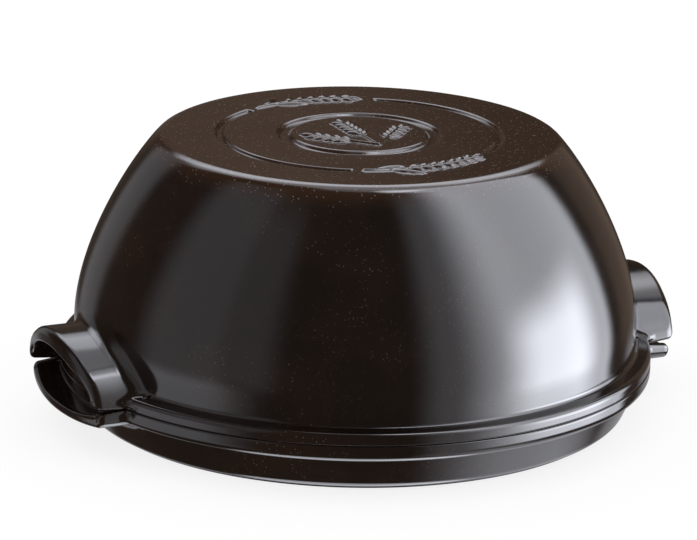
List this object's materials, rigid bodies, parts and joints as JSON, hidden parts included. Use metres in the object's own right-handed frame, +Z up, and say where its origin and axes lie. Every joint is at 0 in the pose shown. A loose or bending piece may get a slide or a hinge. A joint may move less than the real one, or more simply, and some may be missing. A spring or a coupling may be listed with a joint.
{
  "type": "bread cloche",
  "caption": "Round glazed ceramic bread cloche: a shallow base dish with ear handles, and a tall domed lid with a flat crown and matching arched ears that lifts off.",
  "frame": {"origin": "middle of the base dish's foot ring, on the surface that it stands on", "axes": "+X through the two ear handles, +Z up through the middle of the lid's crown"},
  "size_m": [0.325, 0.295, 0.138],
  "materials": {
    "dark_glaze": "very dark brown high-gloss glaze with fine pale specks"
  },
  "bodies": {
    "base": {"base_dish": "dark_glaze"},
    "lid": {"domed_lid": "dark_glaze"}
  },
  "joints": [
    {"name": "lid_lift", "type": "slide", "parent": "base", "child": "lid", "axis": [0, 0, 1], "range_m": [0, 0.2]}
  ]
}
